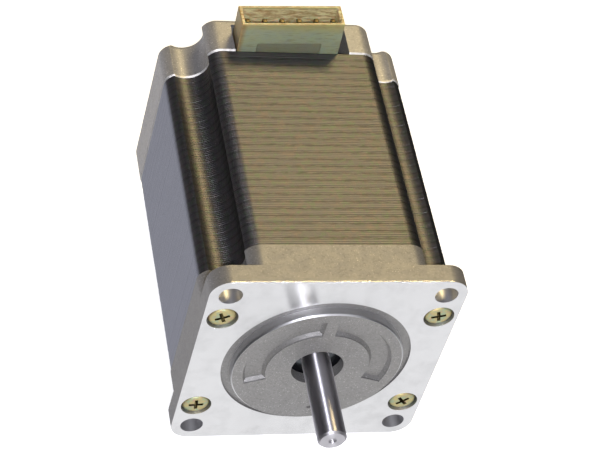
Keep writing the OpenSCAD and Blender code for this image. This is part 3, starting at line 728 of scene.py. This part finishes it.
class MOTOR_OT_front_cap(bpy.types.Operator):
    """Model the front cap: cast body, faced flange, turned pilot and rounded pockets"""

    bl_idname = "motor.front_cap"
    bl_label = "Front Cap"

    def execute(self, context):
        sizes, colours = context.scene.motor_sizes, context.scene.motor_colours
        piece = cad_copy("front_cap", "front_cap_casting")
        edit(piece)
        pick(
            piece, "faces",
            lambda f: f.normal.y < -SQUARE_ON
            and abs(f.calc_center_median().y - PILOT_FACE - POCKET_DEPTH) < 5 * NEAR
            and POCKET_RADII[0] < from_axis(f.calc_center_median()) < POCKET_RADII[1],
        )
        rise = POCKET_DEPTH - sizes.pocket_wall
        bpy.ops.transform.translate(value=(0, -rise, 0))
        bpy.ops.mesh.inset(thickness=sizes.pocket_slope, depth=-rise, use_boundary=True)
        edit(piece, "EDGE")
        pick(piece, "edges", lambda e: all(abs(v.co.y) < NEAR and v.co.z > FLANGE_TOP for v in e.verts))
        bpy.ops.mesh.bevel(offset=sizes.rubbed_edge, segments=2, affect="EDGES")
        only(piece)
        round_edges(piece, sizes.cast_edge)
        cast, faced, turned, rubbed, drilled = range(5)

        def finish(face):
            r, y = from_axis(face.center), face.center.y
            if face.normal.y < -SQUARE_ON and abs(y) < NEAR:
                return faced
            on_pilot = PILOT_FACE - NEAR < y < GROOVE_FLOOR and PILOT_WALL_RADII[0] < r < PILOT_WALL_RADII[1]
            if on_pilot and face.normal.y > -0.98:
                return turned
            if -NEAR < y < RUBBED_DEPTH and r > FLANGE_RIM and face.normal.y < -EDGE_ON:
                return rubbed
            in_hole = from_corner(face.center, HOLE_PLACE, HOLE_PLACE) < HOLE_REACH
            in_seat = from_corner(face.center, SCREW_X, SCREW_Z) < SEAT_REACH
            return drilled if DRILLED_DEPTHS[0] < y < DRILLED_DEPTHS[1] and (in_hole or in_seat) else cast

        paint(
            piece,
            [
                # The blasted casting: grey and dull, with grains that sparkle
                cast_aluminium("die_cast_aluminium", colours.casting),
                # The mounting face, cut across: bright, with highlights that fan out from the shaft
                turned_metal("faced_aluminium", colours.machined, 0.19),
                # The pilot's wall, cut along: soft bright bands down it
                turned_metal("turned_aluminium", colours.machined, 0.32, 0.3, along=True),
                # The flange's top edge, rubbed in handling: a bright line of broken glints
                burnished_edge("burnished_aluminium_edge", colours.machined, 0.26),
                # The bored holes and screw seats: the same cut, rougher, and painted 0.85 times darker as
                # painted shade
                turned_metal("drilled_aluminium", shade(colours.machined, 0.85), 0.5, 0.3, along=True),
            ],
            finish,
        )
        smooth(piece)
        settle(piece, "housing", "cast_front_cap", "front_cap")
        return {"FINISHED"}


class MOTOR_OT_rear_cap(bpy.types.Operator):
    """Model the rear cap with its rounded cast edges"""

    bl_idname = "motor.rear_cap"
    bl_label = "Rear Cap"

    def execute(self, context):
        sizes, colours = context.scene.motor_sizes, context.scene.motor_colours
        piece = cad_copy("rear_cap", "rear_cap_casting")
        round_outline(piece, STACK_END, 1, sizes.joint_edge, segments=1)
        round_outline(piece, MOTOR_END, -1, sizes.rear_edge, segments=5)
        round_edges(piece, sizes.cast_edge)
        paint(
            piece,
            [
                # The same blasted casting, painted 1.65 times lighter as painted light, standing in for the
                # stronger light on the rear
                cast_aluminium("die_cast_aluminium_rear", shade(colours.casting, 1.65)),
                # Its front edge, rubbed bare: a pale satin line around the joint
                burnished_edge("rubbed_aluminium_edge", linear("F6F4F0"), 0.55),
            ],
            lambda f: int(
                -SQUARE_ON < f.normal.y < -EDGE_ON
                and f.center.y < STACK_END + sizes.joint_edge
                and from_axis(f.center) > JOINT_REACH
            ),
        )
        smooth(piece)
        settle(piece, "housing", "cast_rear_cap", "rear_cap")
        return {"FINISHED"}


class MOTOR_OT_laminations(bpy.types.Operator):
    """Model the stack's outside as single laminations, each a little out of line"""

    bl_idname = "motor.laminations"
    bl_label = "Laminations"

    def execute(self, context):
        sizes, colours = context.scene.motor_sizes, context.scene.motor_colours
        count = round((STACK_END - STACK_FRONT) / sizes.lamination)
        stack = cad_copy("stator_core", "lamination_stack")
        edit(stack)

        def outside(face):
            middle = face.calc_center_median()
            at_screw = from_corner(middle, SCREW_X, SCREW_Z) < SCREW_REACH
            return abs(face.normal.y) < EDGE_ON and from_axis(middle) > STACK_REACH and not at_screw

        pick(stack, "faces", outside)
        bpy.ops.mesh.delete(type="FACE")
        bpy.ops.mesh.select_mode(type="EDGE")
        pick(stack, "edges", lambda e: e.is_boundary and all(v.co.y < STACK_FRONT + NEAR for v in e.verts))
        bpy.ops.mesh.duplicate()
        bpy.ops.mesh.separate(type="SELECTED")
        only(stack)
        skin = next(o for o in bpy.context.scene.objects if o.name.startswith("lamination_stack."))
        rename(skin, "lamination_edges")
        edit(skin, "EDGE")
        bpy.ops.mesh.select_all(action="SELECT")
        edge = sizes.lamination_edge
        for step in (edge / 2, edge, sizes.lamination - 3 * edge, edge, edge / 2):
            bpy.ops.mesh.extrude_region_move(TRANSFORM_OT_translate={"value": (0, step, 0)})
        bpy.ops.mesh.select_all(action="DESELECT")
        bpy.ops.mesh.select_mode(type="VERT")
        low, high = STACK_FRONT + edge, STACK_FRONT + sizes.lamination - edge
        pick(skin, "verts", lambda v: low < v.co.y < high)
        grow = 1 + sizes.lamination_proud / STACK_HALF
        bpy.ops.transform.resize(value=(grow, 1, grow), center_override=(0, 0, 0))
        modify(
            skin, "ARRAY", count=count, use_relative_offset=False, use_constant_offset=True,
            constant_offset_displace=(0, sizes.lamination, 0),
            use_merge_vertices=True, merge_threshold=STACK_MERGE,
        )
        draw = random.Random(STRAY_SEED)
        edit(skin, "VERT")
        mesh = bmesh.from_edit_mesh(skin.data)
        sheets = [[] for _ in range(count)]
        for vert in mesh.verts:
            turn = (vert.co.y - STACK_FRONT) / sizes.lamination
            if JOINT_SHARE < turn % 1 < 1 - JOINT_SHARE:
                sheets[min(int(turn), count - 1)].append(vert)
        for i, sheet in enumerate(sheets):
            stray = sizes.lamination_stray * (2 if i % sizes.packet == 0 else 1)
            shift = Vector((draw.uniform(-stray, stray), 0, draw.uniform(-stray, stray)))
            if i % sizes.packet == 0:
                shift.z -= PACKET_DROP
            for vert in sheet:
                vert.co += shift
        bmesh.update_edit_mesh(skin.data)
        only(stack)
        skin.select_set(True)
        bpy.ops.object.join()
        edit(stack)
        bpy.ops.mesh.select_all(action="SELECT")
        bpy.ops.mesh.remove_doubles(threshold=STACK_MERGE)
        bpy.ops.mesh.normals_make_consistent(inside=False)
        only(stack)
        paint(stack, [lamination_steel("silicon_steel_edges", colours.lamination, sizes)])
        smooth(stack, 25)
        settle(stack, "housing", "laminated_steel", "stator_core")
        return {"FINISHED"}


class MOTOR_OT_header(bpy.types.Operator):
    """Model the header's nylon shell and its pins"""

    bl_idname = "motor.header"
    bl_label = "Header and Pins"

    def execute(self, context):
        sizes, colours = context.scene.motor_sizes, context.scene.motor_colours
        shell = cad_copy("connector_housing", "header_shell")
        round_edges(shell, sizes.header_edge, segments=3)
        low, high = (Vector(corner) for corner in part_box("connector_housing"))
        middle, half = (low + high) / 2, (high - low) / 2
        wall, rim, foot = 0.4 * MM, 0.9 * MM, 30 * MM

        def inside(face):
            off = face.center - middle
            return int(abs(off.x) < half.x - wall and abs(off.y) < half.y - rim and face.center.z > foot)

        paint(shell, [header_nylon(colours.header), stained_nylon(colours.stain)], inside)
        smooth(shell)
        settle(shell, "housing", "header_nylon", "connector_housing")
        pins = cad_copy("connector_pins", "header_pins")
        round_edges(pins, sizes.pin_edge)
        paint(pins, [tinned_brass()])
        smooth(pins)
        settle(pins, "housing", "tinned_pin", "connector_pins")
        return {"FINISHED"}


class MOTOR_OT_screws(bpy.types.Operator):
    """Model one tie screw with its domed head and cross recess, and copy it to the four corners"""

    bl_idname = "motor.screws"
    bl_label = "Tie Screws"

    def execute(self, context):
        colours = context.scene.motor_colours
        master = spun("tie_screw_master", SCREW_OUTLINE, steps=48)
        only(None)
        bpy.ops.mesh.primitive_cube_add(size=CROSS_WIDTH, location=(0, CROSS_PLACE, 0))
        cutter = rename(bpy.context.object, "cross_cutter")
        bpy.ops.object.transform_apply(location=True, rotation=False, scale=False)
        arm = (CROSS_SPAN - CROSS_WIDTH) / 2
        for x, z in ((1, 0), (-1, 0), (0, 1), (0, -1)):
            side = Vector((x, 0, z))
            edit(cutter)
            pick(
                cutter, "faces",
                lambda f: f.normal.dot(side) > 0.9
                and (f.calc_center_median() * Vector((z, 0, x))).length < 0.1 * CROSS_WIDTH,
            )
            bpy.ops.mesh.extrude_region_move(TRANSFORM_OT_translate={"value": side * arm})
        edit(cutter)
        pick(cutter, "faces", lambda f: f.normal.y < -0.9)
        bpy.ops.transform.translate(value=(0, -CROSS_OVERRUN, 0))
        edit(cutter)
        pick(cutter, "faces", lambda f: f.normal.y > 0.9)
        bpy.ops.transform.translate(value=(0, CROSS_SINK, 0))
        bpy.ops.transform.resize(value=(CROSS_TAPER, 1, CROSS_TAPER), center_override=(0, 0, 0))
        modify(master, "BOOLEAN", object=cutter, operation="DIFFERENCE", solver="EXACT")
        only(cutter)
        bpy.ops.object.delete()
        round_edges(master, SCREW_EDGE, 50)

        def in_recess(face):
            within = from_axis(face.center) < CROSS_SPAN / 2 + 0.1 * MM
            return int(within and 0.2 * MM < face.center.y < 2 * MM)

        paint(master, [zinc_plated_steel(colours.screw), oiled_steel_painted_shade()], in_recess)
        smooth(master, 40)
        # Each screw stopped at another angle when it was driven home
        for i, (x, z, turn) in enumerate(((-1, 1, 23), (1, 1, 15), (-1, -1, 5), (1, -1, 40))):
            only(master)
            bpy.ops.object.duplicate()
            screw = rename(bpy.context.object, f"tie_screw_{i + 1}")
            edit(screw)
            bpy.ops.mesh.select_all(action="SELECT")
            bpy.ops.transform.rotate(value=math.radians(turn), orient_axis="Y", center_override=(0, 0, 0))
            bpy.ops.transform.translate(value=(x * SCREW_X, 0, z * SCREW_Z))
            only(screw)
            settle(screw, "housing", "zinc_screw", "tie_screws")
        only(master)
        bpy.ops.object.delete()
        return {"FINISHED"}


class MOTOR_OT_shaft(bpy.types.Operator):
    """Model the ground shaft with its chamfer and centre mark"""

    bl_idname = "motor.shaft"
    bl_label = "Shaft"

    def execute(self, context):
        colours = context.scene.motor_colours
        piece = spun("ground_shaft", SHAFT_OUTLINE, steps=128)
        # The ends were faced on a lathe, 0.1 mm a turn, and show its rings
        faced = turned_metal("faced_steel", colours.shaft, 0.42, 0.6, 0.1 * MM)
        paint(piece, [ground_steel(colours.shaft), faced], lambda f: int(abs(f.normal.y) > 0.5))
        smooth(piece, 25)
        settle(piece, "rotor", "shaft_steel", "shaft")
        return {"FINISHED"}


class MOTOR_OT_inside(bpy.types.Operator):
    """Give the winding, board, bearings and rotor their finishes"""

    bl_idname = "motor.inside"
    bl_label = "Inside Pieces"

    def execute(self, context):
        colours = context.scene.motor_colours
        finishes = {
            # Injection moulded polyamide: matt and off-white, with a faint flow texture
            grained("moulded_polyamide", linear("DDD8C4"), 0, 0.5, 0.4 * MM, 0.01 * MM): [
                "front_insulator", "rear_insulator",
            ],
            # Folded polyester film: smooth and greenish, with soft highlights
            grained("polyester_film", linear("B9C4B2"), 0, 0.35, 0.5 * MM, 0.004 * MM): ["slot_liners"],
            enamelled_copper(colours.copper): [f"coil_{i + 1}" for i in range(8)],
            # Pins dipped in solder: pale grey metal, slightly lumpy
            grained("soldered_terminal", linear("BDBDBA"), 1, 0.35, 0.2 * MM, 0.01 * MM): [
                "winding_terminals",
            ],
            # Glass-fibre laminate under solder mask: glossy green over a weave of about 0.45 mm
            grained(
                "green_board_laminate", colours.board, 0, 0.35, 0.45 * MM, 0.008 * MM, Coat_Weight=0.4
            ): ["circuit_board"],
            # Hardened, ground and honed steel: dark, with sharp highlights
            grained("bearing_steel", linear("4E5256"), 1, 0.16, 0.3 * MM, 0.001 * MM): [
                "front_bearing_outer_ring", "rear_bearing_outer_ring", "front_bearing_inner_ring",
                "rear_bearing_inner_ring", "front_bearing_balls", "rear_bearing_balls",
            ],
            # Pressed steel: nearly black and dull
            grained("phosphated_steel", linear("26282D"), 1, 0.5, 0.3 * MM, 0.004 * MM): [
                "front_bearing_shields", "rear_bearing_shields",
            ],
            # Pressed and tumbled steel strip: light grey, softly shining
            grained("pressed_steel", linear("9C9C9E"), 1, 0.3, 0.3 * MM, 0.004 * MM): [
                "front_bearing_cage", "rear_bearing_cage",
            ],
            # Rolled and tempered spring steel: bluish grey, softly shining
            grained("spring_steel", linear("6E7480"), 1, 0.3, 0.3 * MM, 0.003 * MM): ["wave_washer"],
            # Punched electrical steel, ground round: warm grey with a dull sheen
            grained("punched_rotor_steel", linear("777472"), 1, 0.4, 0.3 * MM, 0.01 * MM): [
                f"rotor_cup_{i + 1}" for i in range(4)
            ],
            # Sintered magnet alloy, ground: dark grey and finely grained
            grained("sintered_magnet", linear("55534F"), 1, 0.45, 0.2 * MM, 0.01 * MM): [
                "rotor_magnet_1", "rotor_magnet_2",
            ],
            # Turned aluminium alloy: pale, softly shining
            grained("turned_spacer_alloy", linear("BFBDB8"), 1, 0.3, 0.3 * MM, 0.004 * MM): [
                "rotor_spacer",
            ],
        }
        for material, nodes in finishes.items():
            for node in nodes:
                mesh = frame["nodes"][node].data
                mesh.materials.clear()
                mesh.materials.append(material)
        return {"FINISHED"}


class MOTOR_OT_stage(bpy.types.Operator):
    """Set the pale floor, the soft lights and the camera"""

    bl_idname = "motor.stage"
    bl_label = "Stage"

    def execute(self, context):
        studio = context.scene.motor_studio
        only(None)
        bpy.ops.mesh.primitive_plane_add(size=12, location=(0, 0, FLOOR))
        floor = rename(bpy.context.object, "floor")
        bpy.ops.object.transform_apply(location=True, rotation=False, scale=False)
        floor.visible_glossy = False
        # Matt paper lit from all round: it glows a little, so that it stays white
        pale = new_material(
            "white_paper", studio.floor, 0, 0.8, Emission_Strength=0.75, Emission_Color=(1, 1, 1, 1)
        )
        paint(floor, [pale])

        def area(name, toward, far, size, watts, tint):
            """A light that faces the motor; its longer side lies along the motor as nearly as it can."""
            back = Vector(toward).normalized()
            across = Vector((0, 1, 0)).cross(back).normalized()
            turn = Matrix((across, back.cross(across), back)).transposed()
            bpy.ops.object.light_add(type="AREA", location=back * far, rotation=turn.to_euler())
            light = bpy.context.object
            light.name = name
            light.data.shape = "ELLIPSE" if size[0] == size[1] else "RECTANGLE"
            light.data.size, light.data.size_y = size
            light.data.energy = watts
            light.data.color = linear(tint)[:3]
            return light

        area("key", (0.27, 0.507, 0.818), 1.1, (0.34, 0.34), studio.key, "FFE5A8")
        area("flash", (-0.26, -0.6, 0.76), 0.5, (0.05, 0.05), studio.flash, "F6F6FF")
        lamp = area("front_lamp", (0.009, -0.998, 0.017), 0.5, (0.008, 0.008), studio.front, "FFFFFF")
        lamp.visible_diffuse = False
        area("window", (0.76, 0.6, 0.25), 1.3, (0.08, 0.9), studio.window, "F0E4C8")

        world = bpy.data.worlds.new("studio")
        context.scene.world = world
        world.use_nodes = True
        world.node_tree.nodes.clear()
        sky = add_node(world, "TexCoord").outputs["Generated"]
        glow = add_node(world, "RGB").outputs[0]
        glow.default_value = linear("2A2A2E")
        path = add_node(world, "LightPath")
        # Soft cards for the metal to mirror: where, degrees to the full and to the outer edge, colour,
        # strength, and the share of it that falls on dull surfaces
        for toward, inner, outer, tint, strength, scattered in (
            ((0.27, -0.58, -0.77), 30, 60, "FFFFFF", 1.0, 1.0),
            ((-0.27, 0.58, -0.77), 26, 45, "D2D1D8", 1.1, 0.25),
            ((0.1, -0.75, 0.65), 20, 50, "E6E6EA", 0.8, 0.05),
            ((-0.8, 0.6, -0.1), 10, 26, "E6DEE8", 0.35, 0.0),
        ):
            start, full = (math.cos(math.radians(degrees)) for degrees in (outer, inner))
            facing = add_node(
                world, "VectorMath", {0: sky, 1: Vector(toward).normalized()}, operation="DOT_PRODUCT"
            )
            card = add_node(
                world, "MapRange",
                {"Value": facing.outputs["Value"], "From Min": start, "From Max": full, "To Max": strength},
                interpolation_type="SMOOTHSTEP",
            )
            kept = add_node(
                world, "MapRange", {"Value": path.outputs["Is Diffuse Ray"], "To Min": 1, "To Max": scattered}
            )
            share = add_node(world, "Math", {0: card, 1: kept}, operation="MULTIPLY")
            glow = add_node(
                world, "Mix", {SHARE: share, FIRST: glow, SECOND: linear(tint)},
                data_type="RGBA", blend_type="ADD", clamp_factor=False,
            )
        shown = add_node(
            world, "Mix", {SHARE: path.outputs["Is Camera Ray"], FIRST: glow, SECOND: (1, 1, 1, 1)},
            data_type="RGBA",
        )
        background = add_node(world, "Background", {"Color": shown, "Strength": 1.0})
        add_node(world, "OutputWorld", {"Surface": background})

        bpy.ops.object.camera_add(location=CAMERA_PLACE, rotation=CAMERA_TURN)
        camera = bpy.context.object
        camera.name = "camera"
        camera.data.sensor_width = CAMERA_SENSOR
        camera.data.lens = CAMERA_LENS
        camera.data.clip_start = 0.01
        context.scene.camera = camera
        context.scene.view_settings.view_transform = "Standard"
        return {"FINISHED"}


class MOTOR_PT_panel(bpy.types.Panel):
    """Sidebar panel with the motor's pieces, sizes and colours"""

    bl_idname = "MOTOR_PT_panel"
    bl_label = "Stepper Motor"
    bl_space_type = "VIEW_3D"
    bl_region_type = "UI"
    bl_category = "Motor"

    def draw(self, context):
        for operator in OPERATORS:
            self.layout.operator(operator.bl_idname)
        for group in (context.scene.motor_sizes, context.scene.motor_colours, context.scene.motor_studio):
            for name in group.__annotations__:
                self.layout.prop(group, name)


GROUPS = {"motor_sizes": MotorSizes, "motor_colours": MotorColours, "motor_studio": MotorStudio}
OPERATORS = (
    MOTOR_OT_front_cap, MOTOR_OT_rear_cap, MOTOR_OT_laminations, MOTOR_OT_header,
    MOTOR_OT_screws, MOTOR_OT_shaft, MOTOR_OT_inside, MOTOR_OT_stage,
)


def register():
    for kind in (*GROUPS.values(), *OPERATORS, MOTOR_PT_panel):
        bpy.utils.register_class(kind)
    for name, kind in GROUPS.items():
        setattr(bpy.types.Scene, name, PointerProperty(type=kind))


def unregister():
    for name in GROUPS:
        delattr(bpy.types.Scene, name)
    for kind in reversed((*GROUPS.values(), *OPERATORS, MOTOR_PT_panel)):
        bpy.utils.unregister_class(kind)


def main():
    """Makes every piece."""
    register()
    for operator in OPERATORS:
        group, name = operator.bl_idname.split(".")
        getattr(getattr(bpy.ops, group), name)()


if __name__ == "__main__":
    main()
